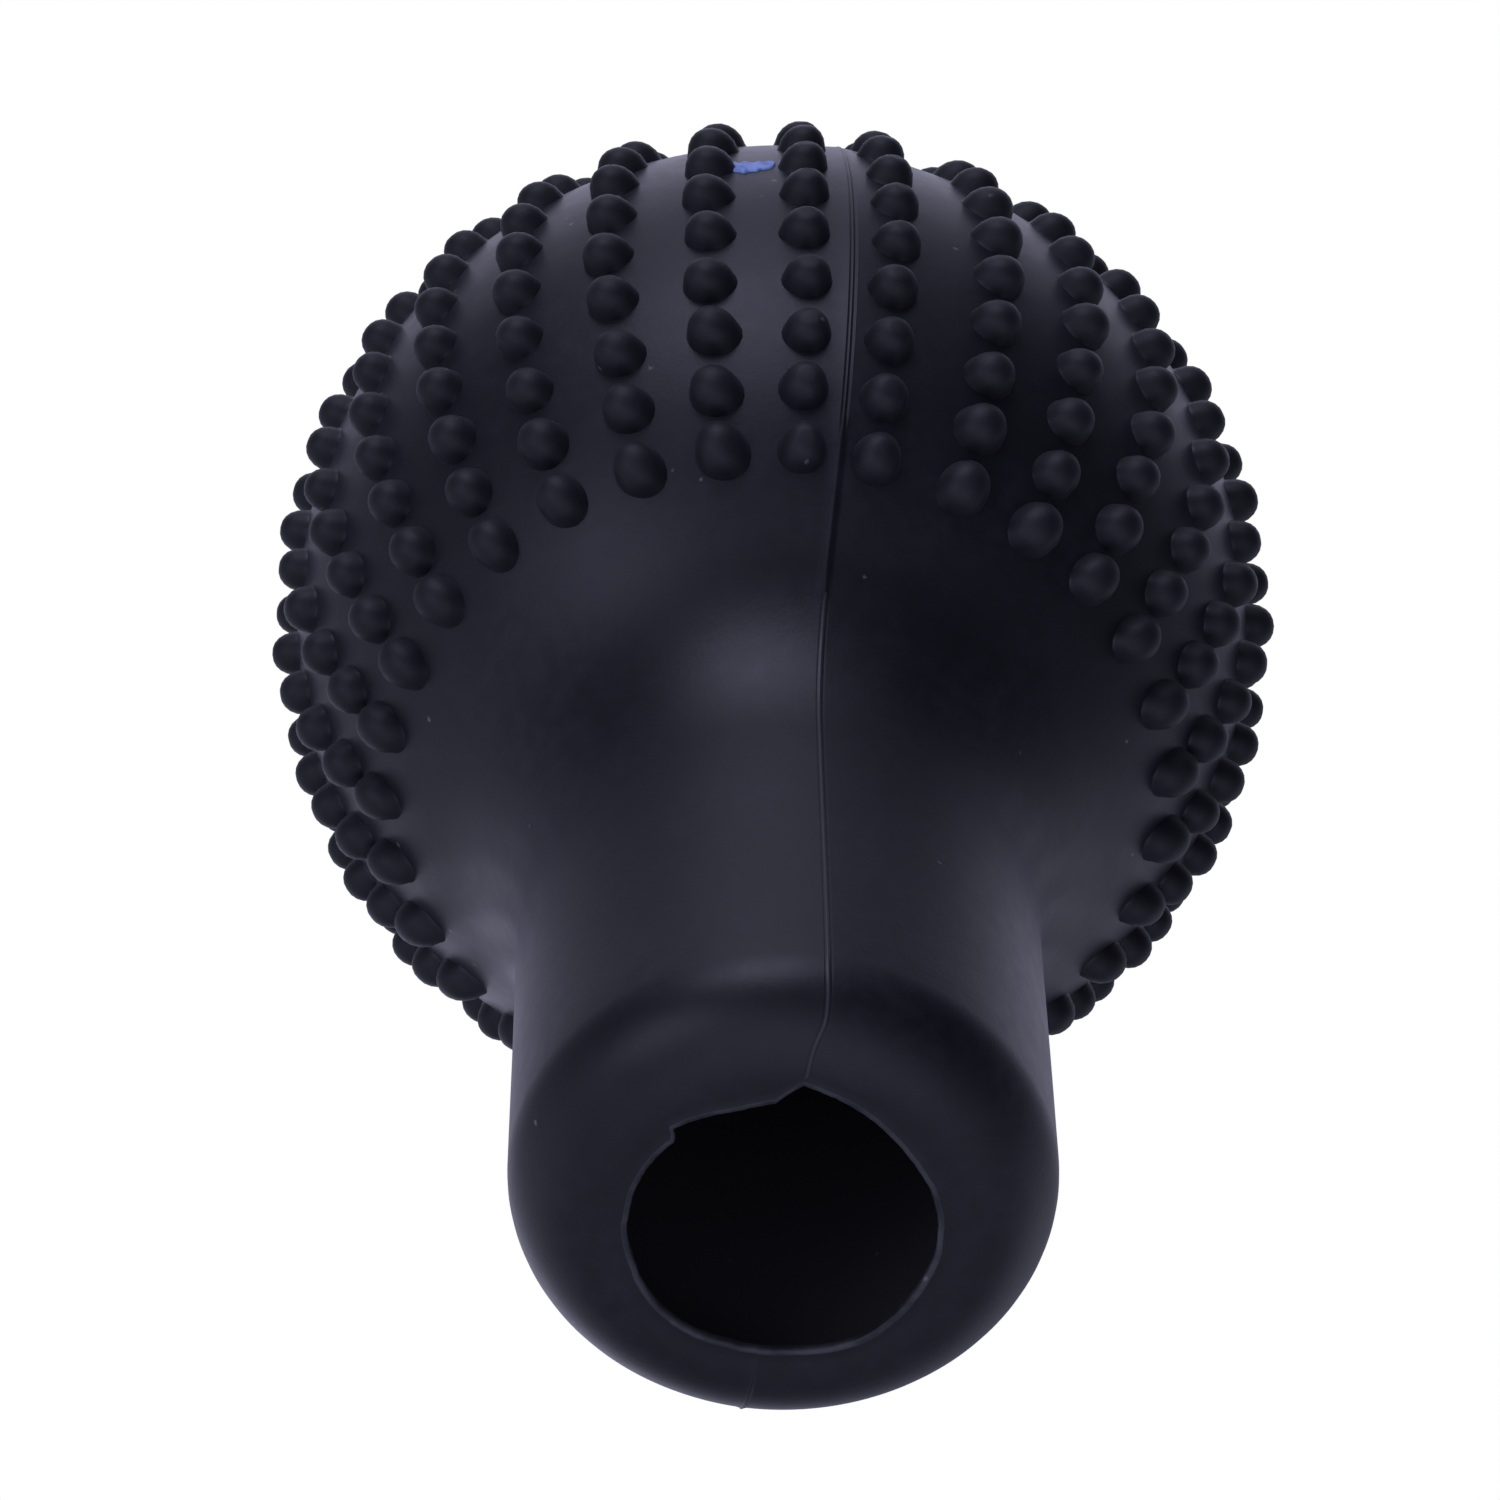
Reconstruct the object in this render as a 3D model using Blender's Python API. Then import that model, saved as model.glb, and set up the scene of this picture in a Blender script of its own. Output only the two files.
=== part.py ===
"""Studded silicone ball sleeve: one hollow rubber moulding, open at the mouth of its neck.

The sleeve stands upright on its mouth. Its axis is +Z, the origin is the centre of the mouth on the
rim plane, and the two halves of its mould meet on the plane x = 0, so the front seam faces -Y.
Lengths are in metres and angles in degrees. A polar angle is measured at the centre of the ball from
the line down to the mouth; a heading is measured round +Z from the front seam, towards +X.
"""

import math

import bmesh
import bpy
from mathutils import Vector

# Ball and neck
BALL_RADIUS = 0.0267
BALL_CENTRE_HEIGHT = 0.0546
NECK_RADIUS = 0.01365
NECK_TO_BALL_FILLET = 0.016
WALL = 0.0024

# Rim and mouth
RIM_ROUNDING = 0.0044
MOUTH_RADIUS = 0.0077
LIP_THICKNESS = 0.0010

# Rows of beads on each mould half, counted from the front seam: the first stretch is evenly spaced and
# the rest spread out to leave the same gap at the back seam
ROWS_PER_HALF = 15
EVEN_ROWS = 12
SEAM_TO_ROW = 5.2
ROW_PITCH = 11.85

# Beads along a row, from the neck side up: the pitch widens a little from each bead to the next
BEADS_PER_ROW = 11
FIRST_BEAD_POLAR = 53.0
FIRST_BEAD_PITCH = 7.5
PITCH_GROWTH = 0.3
BEAD_RADIUS = 0.0013
BEAD_HEIGHT = 0.00145
BEAD_SIDES = 6
SHOULDER_RADIUS = 0.80 * BEAD_RADIUS
SHOULDER_HEIGHT = 0.62 * BEAD_HEIGHT

# How many flats stand for each round stretch of the outline
RIM_STEPS = 4
FILLET_STEPS = 6
CROWN_STEPS = 5
CAVITY_STEPS = 10

SILICONE_COLOUR = (0.018, 0.018, 0.026, 1.0)
SILICONE_ROUGHNESS = 0.6


def clear_scene():
    for obj in list(bpy.data.objects):
        bpy.data.objects.remove(obj)


def silicone():
    material = bpy.data.materials.new("black_silicone")
    material.use_nodes = True
    shader = material.node_tree.nodes["Principled BSDF"]
    shader.inputs["Base Color"].default_value = SILICONE_COLOUR
    shader.inputs["Roughness"].default_value = SILICONE_ROUGHNESS
    shader.inputs["Metallic"].default_value = 0.0
    return material


def arc(centre_r, centre_z, radius, start, end, steps):
    """Outline points (r, z) round a centre. Angles in degrees run from +r towards +z."""
    points = []
    for step in range(steps + 1):
        angle = math.radians(start + (end - start) * step / steps)
        points.append((centre_r + radius * math.cos(angle), centre_z + radius * math.sin(angle)))
    return points


def ball_point(radius, polar):
    """Outline point (r, z) on a ball round the ball's centre."""
    angle = math.radians(polar)
    return (radius * math.sin(angle), BALL_CENTRE_HEIGHT - radius * math.cos(angle))


def bead_polar(level):
    """Polar angle of a bead, counted from 0 at the neck side. Half levels lie between two beads."""
    return FIRST_BEAD_POLAR + FIRST_BEAD_PITCH * level + PITCH_GROWTH * level * (level - 1) / 2


def neck_fillet_centre():
    """Centre (r, z) of the hollow arc that touches both the neck and the ball."""
    centre_r = NECK_RADIUS + NECK_TO_BALL_FILLET
    drop = math.sqrt((BALL_RADIUS + NECK_TO_BALL_FILLET) ** 2 - centre_r**2)
    return centre_r, BALL_CENTRE_HEIGHT - drop


def neck_fillet(inset):
    """The neck-to-ball arc, moved into the wall by inset."""
    centre_r, centre_z = neck_fillet_centre()
    meeting = math.degrees(math.atan2(BALL_CENTRE_HEIGHT - centre_z, centre_r))
    return arc(centre_r, centre_z, NECK_TO_BALL_FILLET + inset, 180.0, 180.0 - meeting, FILLET_STEPS)


def below_beads():
    """Outer outline from the edge of the mouth up to the lower edge of the beads."""
    rim_centre_r = NECK_RADIUS - RIM_ROUNDING
    outline = [(MOUTH_RADIUS, 0.0)]
    outline += arc(rim_centre_r, RIM_ROUNDING, RIM_ROUNDING, -90.0, 0.0, RIM_STEPS)
    outline += neck_fillet(0.0)
    return outline


def bead_belt():
    """Outer outline across the beads: the edges between one bead and the next."""
    edges = range(BEADS_PER_ROW + 1)
    return [ball_point(BALL_RADIUS, bead_polar(edge - 0.5)) for edge in edges]


def crown():
    """Outer outline over the smooth crown, without the pole."""
    edge = bead_polar(BEADS_PER_ROW - 0.5)
    step_size = (180.0 - edge) / CROWN_STEPS
    return [ball_point(BALL_RADIUS, edge + step_size * step) for step in range(1, CROWN_STEPS)]


def cavity():
    """Inner outline from the lip of the mouth up to near the pole of the hollow."""
    rim_centre_r = NECK_RADIUS - RIM_ROUNDING
    outline = [(MOUTH_RADIUS, LIP_THICKNESS)]
    outline += arc(rim_centre_r, RIM_ROUNDING, RIM_ROUNDING - WALL, -90.0, 0.0, RIM_STEPS - 1)
    fillet = neck_fillet(WALL)
    outline += fillet
    inner_radius = BALL_RADIUS - WALL
    rise = BALL_CENTRE_HEIGHT - fillet[-1][1]
    lowest = math.degrees(math.atan2(fillet[-1][0], rise))
    step_size = (180.0 - lowest) / CAVITY_STEPS
    outline += [ball_point(inner_radius, lowest + step_size * step) for step in range(1, CAVITY_STEPS)]
    return outline


def row_headings():
    """Heading of each row of beads, in order round the sleeve."""
    half = [SEAM_TO_ROW + ROW_PITCH * row for row in range(EVEN_ROWS)]
    spread_rows = ROWS_PER_HALF - EVEN_ROWS
    spread_pitch = (180.0 - SEAM_TO_ROW - half[-1]) / spread_rows
    half += [half[-1] + spread_pitch * row for row in range(1, spread_rows + 1)]
    return half + [360.0 - heading for heading in reversed(half)]


def column_headings():
    """Heading of the edge before each row: both seams, and midway between neighbouring rows."""
    rows = row_headings()
    headings = []
    for index, heading in enumerate(rows):
        if index == 0:
            headings.append(0.0)
        else:
            headings.append((rows[index - 1] + heading) / 2)
    return headings


def place(r, z, heading):
    angle = math.radians(heading)
    return Vector((r * math.sin(angle), -r * math.cos(angle), z))


def ring(mesh, r, z, headings):
    return [mesh.verts.new(place(r, z, heading)) for heading in headings]


def bridge(mesh, lower, upper):
    """Plain quads between two rings."""
    count = len(lower)
    for index in range(count):
        after = (index + 1) % count
        mesh.faces.new((lower[index], lower[after], upper[after], upper[index]))


def close_pole(mesh, last, height):
    pole = mesh.verts.new((0.0, 0.0, height))
    count = len(last)
    for index in range(count):
        mesh.faces.new((last[index], last[(index + 1) % count], pole))


def bead(mesh, corners, polar, heading):
    """One bead in its cell of the ball. Corners go round the cell from its lower left."""
    centre_of_ball = Vector((0.0, 0.0, BALL_CENTRE_HEIGHT))
    base = place(*ball_point(BALL_RADIUS, polar), heading)
    normal = (base - centre_of_ball).normalized()
    sideways = Vector((0.0, 0.0, 1.0)).cross(normal).normalized()
    upwards = normal.cross(sideways)

    foot = []
    shoulder = []
    for side in range(BEAD_SIDES):
        angle = 2 * math.pi * side / BEAD_SIDES
        outwards = sideways * math.cos(angle) + upwards * math.sin(angle)
        on_tangent = base + outwards * BEAD_RADIUS - centre_of_ball
        foot.append(mesh.verts.new(centre_of_ball + on_tangent.normalized() * BALL_RADIUS))
        raised = base + outwards * SHOULDER_RADIUS + normal * SHOULDER_HEIGHT
        shoulder.append(mesh.verts.new(raised))
    top = mesh.verts.new(base + normal * BEAD_HEIGHT)

    lower_left, lower_right, upper_right, upper_left = corners
    mesh.faces.new((lower_right, upper_right, foot[0]))
    mesh.faces.new((upper_right, foot[1], foot[0]))
    mesh.faces.new((upper_right, upper_left, foot[2], foot[1]))
    mesh.faces.new((upper_left, foot[3], foot[2]))
    mesh.faces.new((upper_left, lower_left, foot[3]))
    mesh.faces.new((lower_left, foot[4], foot[3]))
    mesh.faces.new((lower_left, lower_right, foot[5], foot[4]))
    mesh.faces.new((lower_right, foot[0], foot[5]))
    for side in range(BEAD_SIDES):
        after = (side + 1) % BEAD_SIDES
        mesh.faces.new((foot[side], foot[after], shoulder[after], shoulder[side]))
        mesh.faces.new((shoulder[side], shoulder[after], top))


def belt_of_beads(mesh, rings):
    rows = row_headings()
    for level in range(BEADS_PER_ROW):
        lower, upper = rings[level], rings[level + 1]
        for index, heading in enumerate(rows):
            after = (index + 1) % len(rows)
            corners = (lower[index], lower[after], upper[after], upper[index])
            bead(mesh, corners, bead_polar(level), heading)


def bridge_all(mesh, rings):
    for lower, upper in zip(rings, rings[1:]):
        bridge(mesh, lower, upper)


def sleeve_mesh():
    headings = column_headings()
    mesh = bmesh.new()

    neck = [ring(mesh, r, z, headings) for r, z in below_beads()]
    belt = [ring(mesh, r, z, headings) for r, z in bead_belt()]
    top = [ring(mesh, r, z, headings) for r, z in crown()]
    hollow = [ring(mesh, r, z, headings) for r, z in cavity()]

    bridge_all(mesh, neck + belt[:1])
    belt_of_beads(mesh, belt)
    bridge_all(mesh, belt[-1:] + top)
    close_pole(mesh, top[-1], BALL_CENTRE_HEIGHT + BALL_RADIUS)

    bridge(mesh, hollow[0], neck[0])
    bridge_all(mesh, hollow)
    close_pole(mesh, hollow[-1], BALL_CENTRE_HEIGHT + BALL_RADIUS - WALL)

    bmesh.ops.recalc_face_normals(mesh, faces=mesh.faces[:])
    data = bpy.data.meshes.new("silicone_sleeve")
    mesh.to_mesh(data)
    mesh.free()
    return data


def build():
    clear_scene()
    data = sleeve_mesh()
    data.materials.append(silicone())
    data.shade_smooth()
    data.set_sharp_from_angle(angle=math.radians(35.0))
    sleeve = bpy.data.objects.new("silicone_sleeve", data)
    bpy.context.scene.collection.objects.link(sleeve)


build()
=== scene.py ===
"""Looks of the studded silicone ball sleeve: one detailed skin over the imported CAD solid.

Lengths are in metres. Headings run round +Z from the front (-Y) towards +X, and polar angles are
measured at the centre of the ball from the line down to the mouth; both are in degrees. A station is
a place on the outline: its radius, its height, and the outward and upward parts of the direction that
the surface faces there. A column runs up the skin from the mouth to the pole, and a ring runs round it.
"""

import math
import random

import bpy
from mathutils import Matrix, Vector, noise


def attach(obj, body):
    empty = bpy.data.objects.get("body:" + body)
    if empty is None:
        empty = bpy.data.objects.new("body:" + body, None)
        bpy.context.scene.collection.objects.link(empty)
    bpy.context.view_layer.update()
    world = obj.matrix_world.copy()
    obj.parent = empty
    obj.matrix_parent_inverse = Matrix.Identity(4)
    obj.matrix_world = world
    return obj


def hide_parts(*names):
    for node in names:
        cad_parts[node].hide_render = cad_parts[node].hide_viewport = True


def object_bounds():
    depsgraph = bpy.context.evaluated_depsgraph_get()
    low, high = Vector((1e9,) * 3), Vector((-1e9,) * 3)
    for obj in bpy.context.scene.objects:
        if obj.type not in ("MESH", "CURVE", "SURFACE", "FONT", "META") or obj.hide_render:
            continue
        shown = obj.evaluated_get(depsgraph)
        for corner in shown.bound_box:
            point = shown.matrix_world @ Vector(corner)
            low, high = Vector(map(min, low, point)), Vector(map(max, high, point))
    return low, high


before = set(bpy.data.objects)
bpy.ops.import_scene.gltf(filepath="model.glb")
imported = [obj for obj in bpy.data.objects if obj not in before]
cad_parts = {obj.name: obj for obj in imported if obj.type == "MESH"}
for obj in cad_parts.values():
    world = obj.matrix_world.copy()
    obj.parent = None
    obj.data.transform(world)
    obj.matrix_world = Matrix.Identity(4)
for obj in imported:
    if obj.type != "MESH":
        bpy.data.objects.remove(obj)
cad_low, cad_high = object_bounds()

MM = 0.001
random.seed(11)

# Ball, neck and rim. BALL_DEGREE is the length of one degree along the ball.
BALL_RADIUS = 26.7 * MM
BALL_CENTRE = Vector((0.0, 0.0, cad_high.z - BALL_RADIUS))
BALL_DEGREE = math.radians(BALL_RADIUS)
NECK_RADIUS = 13.65 * MM
NECK_TO_BALL_FILLET = 16.0 * MM
RIM_ROUNDING = 4.4 * MM
RIM_FLAT_RADIUS = NECK_RADIUS - RIM_ROUNDING
ROUND_RIM_END = RIM_FLAT_RADIUS + RIM_ROUNDING * math.pi / 2
WALL = 2.4 * MM
POLE_RADIUS = 1.0 * MM

# How many steps stand for each stretch of the outline
RIM_STEPS = 16
NECK_STEPS = 9
FILLET_STEPS = 13
CROWN_STEPS = 12
INNER_RIM_STEPS = 5
INNER_FILLET_STEPS = 9
INNER_STEPS = 12

# Lip of the mouth: a bevelled band, then a shallow groove, then the rim
LIP_THICKNESS = 0.45 * MM
LIP_BAND = 0.24 * MM
LIP_BEVEL = 0.09 * MM
LIP_GROOVE_WIDTH = 0.08 * MM
LIP_GROOVE_DEPTH = 0.03 * MM
LIP_UNDERCUT = 0.03 * MM
INNER_LIP_TOP = 3.0 * MM
INNER_LIP_SLOPE = 0.4

# Cut edge of the mouth, in millimetres: its swells as heading, width and height, and its tears as the
# headings of their start, peak and end, their depth, and the power by which they run out
MOUTH_RADIUS = 7.49
MOUTH_SWELLS = ((-82.0, 50.0, 0.22), (-146.0, 20.0, 0.22), (143.0, 17.0, 0.26))
MOUTH_TEARS = (
    (-13.0, -4.0, 50.0, 1.4, 1.7),
    (-53.2, -51.0, -20.0, 0.6, 1.0),
    (-26.0, -14.0, -4.0, 0.28, 1.0),
)
EDGE_ROUGHNESS = 0.06
EDGE_GRAIN = 0.04

# Rows of beads on each half, the first stretch evenly spaced and the rest spread to the back seam
ROWS_PER_HALF = 15
EVEN_ROWS = 12
LAST_ROW = 2 * ROWS_PER_HALF - 1
SEAM_TO_ROW = 5.2
ROW_PITCH = 11.85
CELL_STEPS = 6

# Beads along a row
BEADS_PER_ROW = 11
FIRST_BEAD_POLAR = 53.0
FIRST_BEAD_PITCH = 7.5
PITCH_GROWTH = 0.3
BELT_FOOT_POLAR = 47.6

# One bead: a dome between a ball and a box in shape, with a crisp foot. An error is how far a value
# varies either way: in degrees for the place, and as a share for the size and the height.
BEAD_RADIUS = 1.25 * MM
BEAD_HEIGHT = 1.47 * MM
BEAD_FILLET = 0.05 * MM
BEAD_GUARD = 0.16 * MM
DOME_ANGLES = (8.0, 26.0, 44.0, 60.0, 75.0)
DOME_POWER = 2.25
CELL_FILL = 0.89
GUARD_FILL = 0.96
PLACE_ERROR = 0.22
SIZE_ERROR = 0.035
HEIGHT_ERROR = 0.03
TOP_SHRINK = 0.06
LOWEST_DRIFT = 1.3
DRIFT_LEVELS = 3.0
LOWEST_STRETCH = 0.22
STRETCH_LEVELS = 1.8

# The beak: a blunt lip that a bead runs out into, towards its seam. Its spread and the error of its
# turn are in radians.
BEAK_REACH = 0.38 * MM
BEAK_SPREAD = 0.85
BEAK_SET_BACK = 0.55
BEAK_TURN_ERROR = 0.10
BEAK_REACH_ERROR = 0.15
BEAK_STEEPNESS = 0.9
BEAK_DROOP = 0.45
DROOP_LEVELS = 1.5
BEAK_SOFTENING = 0.40
RIGHT_HALF_SHARE = 0.8
LOWEST_BEAK = 0.15 * MM
FIRST_ROW_BEAK = 0.22 * MM
LAST_ROW_BEAK = 0.20 * MM

# The rows beside the front seam stand a little to the -X side and are a little smaller
SEAM_ROW_SHIFT = -0.40 * MM
SEAM_ROW_SIZE = 0.97
SEAM_ROW_SHRINK = 0.05
SHRINK_LEVELS = 1.5
SHIFT_FADE = (7.0, 10.0)
SHIFT_LOSS = 0.8

# Heights where the seam changes: a thin ridge, then a step over a dark groove, then two fine lines
STEP_LOW = 33.0 * MM
STEP_HIGH = 40.0 * MM
ZONE_BLEND = 0.8 * MM

# Seam strips: side positions across a strip, and how far each stands above the skin
STRIP_SIDES = [side * MM for side in (0.36, 0.28, 0.20, 0.12, 0.04, -0.04, -0.11, -0.17, -0.24)]
GROOVED = [lift * MM for lift in (0.0, 0.0, 0.01, -0.22, 0.01, 0.03, -0.18, 0.01, 0.0)]
STEPPED = [lift * MM for lift in (0.0, 0.0, 0.03, 0.07, 0.12, 0.03, 0.03, 0.02, 0.0)]
RIDGED = [lift * MM for lift in (0.0, 0.0, 0.0, -0.02, 0.04, 0.05, -0.03, 0.0, 0.0)]
SEAM_ZONES = ((RIDGED, STEP_LOW, STEPPED), (STEPPED, STEP_HIGH, GROOVED))
BACK_SEAM_SHARE = 0.8
STRIP_STEPS = len(STRIP_SIDES) - 1

# Where the front seam runs, as height and shift to the +X side, in millimetres
SEAM_PATH = ((0.0, -0.58), (1.2, -0.1), (4.0, -0.23), (30.0, -0.3), (76.0, -0.25), (81.3, 0.0))

# Columns of one half, and of the whole ring with both seam strips
HALF_CELLS = ROWS_PER_HALF * CELL_STEPS
COLUMNS = 2 * HALF_CELLS + 2 * STRIP_STEPS

# The low crest where the two halves meet, and the step down to the +X half, deeper for a stretch
CREST_HEIGHT = 0.25 * MM
CREST_WIDTH = 2.6 * MM
CREST_SHARE = 0.65
CREST_FRONT_SHARE = 0.35
HALF_STEP = 0.03 * MM
DEEPER_STEP = 0.13 * MM
DEEPER_START = (STEP_LOW - 2.0 * MM, STEP_LOW + 1.0 * MM)
DEEPER_END = (STEP_HIGH - 2.0 * MM, STEP_HIGH + 2.0 * MM)
STEP_WIDTH = 2.0 * MM
RELIEF_FADE = 6.0 * MM

# Shape at rest
WAVE_HEIGHT = 0.035 * MM
WAVE_SIZE = 9.0 * MM
NECK_LEAN = 0.5 * MM
LEAN_TOP = 60.0 * MM
CROWN_SWELL = 0.30 * MM
SWELL_RISE = 18.0 * MM

# Values of the paint attribute, which tell the material where it is. Plain skin is 0.
BEAD_PAINT = -1.0
FLASH_PAINT = 0.5
CUT_PAINT = 1.0
INSIDE_PAINT = 3.0

# Steps of the front strip that carry the ridge of flash
FLASH_STEPS = ((4, False), (5, False))

# A sliver of blue rubber moulded into the skin between two rows, and the outline of its section as
# shares of its half width and of its lift
FLECK_HEADING = -12.1
FLECK_POLAR = 102.6
FLECK_HALF_LENGTH = 1.22 * MM
FLECK_HALF_WIDTH = 0.80 * MM
FLECK_LEAST_WIDTH = 0.05 * MM
FLECK_CURL = 0.42 * MM
FLECK_WANDER = 0.10 * MM
FLECK_LIFT = 0.16 * MM
FLECK_SUNK = -1.5
FLECK_STEPS = 22
FLECK_SECTION = ((-1.0, -1.0), (-1.0, 0.6), (-0.7, 1.0), (0.0, 0.85), (0.7, 1.0), (1.0, 0.6), (1.0, -1.0))

# Colours of the materials
SKIN_DARK = (0.006, 0.006, 0.009, 1.0)
SKIN_LIGHT = (0.014, 0.014, 0.021, 1.0)
BEAD_COLOUR = (0.004, 0.004, 0.006, 1.0)
CUT_COLOUR = (0.050, 0.052, 0.060, 1.0)
FLASH_COLOUR = (0.050, 0.050, 0.062, 1.0)
# Painted light: the inside is the same black silicone, given a lighter colour to stand in for the light
# that reaches into the hollow
INSIDE_PAINTED_LIGHT = (0.05, 0.048, 0.052, 1.0)
SPECK_COLOUR = (0.16, 0.155, 0.16, 1.0)
SPECULAR_TINT = (0.92, 0.92, 1.0, 1.0)
SHEEN_TINT = (0.75, 0.78, 1.0, 1.0)
BLUE_DARK = (0.11, 0.20, 0.58, 1.0)
BLUE_LIGHT = (0.30, 0.44, 0.92, 1.0)
FLOOR_TONES = ((0.86, 0.87, 0.66, 1.0), (0.90, 0.91, 0.69, 1.0))
WHITE = (1.0, 1.0, 1.0, 1.0)

# Floor
FLOOR_RADIUS = 0.6
FLOOR_SIDES = 96
FLOOR_FADE = (0.18, 0.55)
FLOOR_GAP = 0.02 * MM
FLOOR_GLOW = 0.42

# Camera: below the floor's level, looking up into the mouth
CAMERA_AZIMUTH = -9.8
CAMERA_ELEVATION = -56.1
CAMERA_DISTANCE = 338.4 * MM
CAMERA_LENS = 144.0
CAMERA_SENSOR = 36.0
CAMERA_AIM = Vector((-0.2 * MM, 5.9 * MM, BALL_CENTRE.z - 3.9 * MM))

# Soft studio light, as glows on an enclosing dark room: azimuth, elevation, sharpness, strength
ROOM = 0.02
GLOWS = {
    "key in front": (-19.0, 19.0, 30.0, 3.0),
    "above the key": (-15.0, 38.0, 12.0, 0.7),
    "low left": (-56.0, -26.0, 25.0, 1.8),
    "low front": (-16.0, -55.0, 12.0, 0.55),
    "underneath": (80.0, -83.0, 5.0, 0.76),
    "wide left": (-121.0, -13.0, 4.3, 0.53),
    "wide right": (124.0, 3.5, 7.5, 0.6),
    "high right": (110.0, 57.0, 16.0, 0.42),
    "overhead": (-162.0, 84.0, 9.0, 1.05),
    "behind": (-165.0, 27.0, 12.0, 0.9),
}
LIGHT_COLOUR = (0.945, 0.94, 1.245, 1.0)


# Shape of the outline


def smooth(low, high, value):
    share = min(1.0, max(0.0, (value - low) / (high - low)))
    return share * share * (3.0 - 2.0 * share)


def vary(middle, error):
    return random.uniform(middle - error, middle + error)


def direction(heading):
    angle = math.radians(heading)
    return Vector((math.sin(angle), -math.cos(angle), 0.0))


def ball_station(polar):
    angle = math.radians(polar)
    radius = BALL_RADIUS * math.sin(angle)
    height = BALL_CENTRE.z - BALL_RADIUS * math.cos(angle)
    return radius, height, math.sin(angle), -math.cos(angle)


def arc(centre_r, centre_z, radius, start, end, steps, hollow=False):
    """Stations along an arc of the outline. Angles in degrees run from +r towards +z."""
    stations = []
    facing = -1.0 if hollow else 1.0
    for step in range(steps + 1):
        angle = math.radians(start + (end - start) * step / steps)
        across, up = math.cos(angle), math.sin(angle)
        station = (centre_r + radius * across, centre_z + radius * up, facing * across, facing * up)
        stations.append(station)
    return stations


def neck_fillet(inset, steps):
    """Stations of the hollow arc between neck and ball, moved into the wall by inset."""
    centre_r = NECK_RADIUS + NECK_TO_BALL_FILLET
    drop = math.sqrt((BALL_RADIUS + NECK_TO_BALL_FILLET) ** 2 - centre_r**2)
    meeting = math.degrees(math.atan2(drop, centre_r))
    reach = NECK_TO_BALL_FILLET + inset
    return arc(centre_r, BALL_CENTRE.z - drop, reach, 180.0, 180.0 - meeting, steps, hollow=True)


def neck_stations():
    fillet = neck_fillet(0.0, FILLET_STEPS)
    top = fillet[0][1]
    stations = []
    for step in range(1, NECK_STEPS):
        height = RIM_ROUNDING + (top - RIM_ROUNDING) * step / NECK_STEPS
        stations.append((NECK_RADIUS, height, 1.0, 0.0))
    return stations + fillet


def rim_station(travel):
    """Station of the rim after a distance along it, counted as radius on its flat part."""
    if travel < RIM_FLAT_RADIUS:
        return travel, 0.0, 0.0, -1.0
    angle = (travel - RIM_FLAT_RADIUS) / RIM_ROUNDING - math.pi / 2
    across, up = math.cos(angle), math.sin(angle)
    return RIM_FLAT_RADIUS + RIM_ROUNDING * across, RIM_ROUNDING * (1.0 + up), across, up


def mouth_radius(heading):
    """Radius of the cut edge of the mouth: out of true, notched at the seam and torn beside it."""
    turn = (heading + 180.0) % 360.0 - 180.0
    radius = MOUTH_RADIUS
    for middle, width, height in MOUTH_SWELLS:
        off = (turn - middle + 180.0) % 360.0 - 180.0
        radius += height * math.exp(-((off / width) ** 2))
    for start, peak, end, depth, power in MOUTH_TEARS:
        if start < turn <= peak:
            radius += depth * (turn - start) / (peak - start)
        elif peak < turn < end:
            radius += depth * ((end - turn) / (end - peak)) ** power
    angle = math.radians(turn)
    across, along = 3.0 * math.sin(angle), 3.0 * math.cos(angle)
    rough = noise.noise(Vector((across, along, 1.7)) * 2.2)
    grain = noise.noise(Vector((across, along, 8.1)) * 7.0)
    return (radius + EDGE_ROUGHNESS * rough + EDGE_GRAIN * grain) * MM


# Rows, columns and the seams between the halves


def half_rows():
    rows = [SEAM_TO_ROW + ROW_PITCH * row for row in range(EVEN_ROWS)]
    spread_rows = ROWS_PER_HALF - EVEN_ROWS
    pitch = (180.0 - SEAM_TO_ROW - rows[-1]) / spread_rows
    return rows + [rows[EVEN_ROWS - 1] + pitch * row for row in range(1, spread_rows + 1)]


ROWS = half_rows() + [360.0 - heading for heading in reversed(half_rows())]


def seam_shift(height):
    """How far the front seam stands to the +X side at a height."""
    level = height / MM
    for (low, before), (high, after) in zip(SEAM_PATH, SEAM_PATH[1:]):
        if level <= high:
            return (before + (after - before) * smooth(low, high, level)) * MM
    return SEAM_PATH[-1][1] * MM


def strip_heading(side, radius, height, back):
    """Heading, in degrees, of a line that runs beside a seam at a fixed distance."""
    if back:
        return 180.0 - math.degrees(math.asin(side / radius))
    return math.degrees(math.asin((seam_shift(height) + side) / radius))


def column_headings(radius, height):
    """Heading of every column where the skin has this radius and height, from the front seam round."""
    right_edge, left_edge = STRIP_SIDES[0], STRIP_SIDES[-1]
    edges = [strip_heading(right_edge, radius, height, False)]
    edges += [(ROWS[i] + ROWS[i + 1]) / 2 for i in range(ROWS_PER_HALF - 1)]
    edges.append(strip_heading(right_edge, radius, height, True))
    other = [strip_heading(left_edge, radius, height, True)]
    other += [(ROWS[i] + ROWS[i + 1]) / 2 for i in range(ROWS_PER_HALF, LAST_ROW)]
    other.append(360.0 + strip_heading(left_edge, radius, height, False))

    headings = []
    for half, back in ((edges, True), (other, False)):
        for low, high in zip(half, half[1:]):
            headings += [low + (high - low) * step / CELL_STEPS for step in range(CELL_STEPS)]
        turn = 0.0 if back else 360.0
        sides = STRIP_SIDES[:-1] if back else STRIP_SIDES[:0:-1]
        headings += [turn + strip_heading(side, radius, height, back) for side in sides]
    return headings


# The mouth's rings all use the headings that the columns have at this radius of the rim
MOUTH_HEADINGS = column_headings(8.0 * MM, 0.0)

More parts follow.
